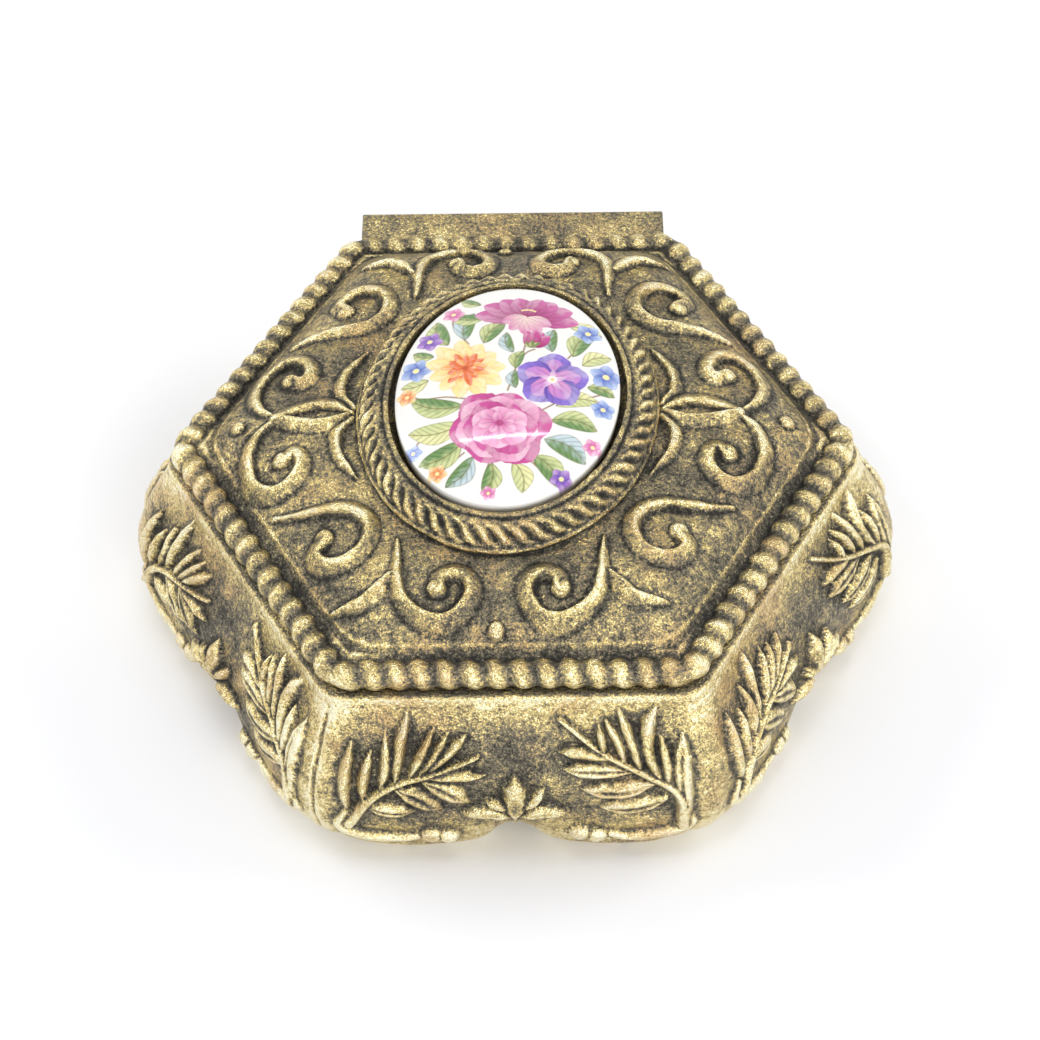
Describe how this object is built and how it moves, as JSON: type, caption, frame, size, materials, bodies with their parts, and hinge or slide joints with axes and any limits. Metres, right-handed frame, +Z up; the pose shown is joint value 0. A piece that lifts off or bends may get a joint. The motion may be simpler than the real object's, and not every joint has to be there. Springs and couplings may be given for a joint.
{
  "type": "hexagonal trinket box",
  "caption": "Hexagonal cast trinket box with a swelling base, rope-edged domed lid on a rear pinned hinge, oval porcelain inset and velvet lining.",
  "frame": {"origin": "middle of the underside, on the surface that the foot ring stands on", "axes": "+Z up, front looks towards -Y and the hinge is at +Y, +X to the viewer's right along the widest corners"},
  "size_m": [0.1062, 0.0958, 0.0425],
  "materials": {
    "casting": "antiqued, dark in the hollows and worn bright on the crests",
    "porcelain": "glazed white porcelain with a flower spray",
    "pin": "plain drawn wire",
    "card": "stiff grey-brown board",
    "velvet": "deep red velvet"
  },
  "bodies": {
    "base": {"base_casting": "casting", "hinge_pin": "pin", "floor_lining_card": "card", "floor_lining_velvet": "velvet", "wall_lining_velvet": "velvet"},
    "lid": {"lid_casting": "casting", "porcelain_cabochon": "porcelain", "lid_lining_card": "card", "lid_lining_velvet": "velvet"}
  },
  "joints": [
    {"name": "lid_hinge", "type": "hinge", "parent": "base", "child": "lid", "pos_m": [0, 0.0439, 0.0267], "axis": [-1, 0, 0], "range_deg": [0, 100]}
  ]
}
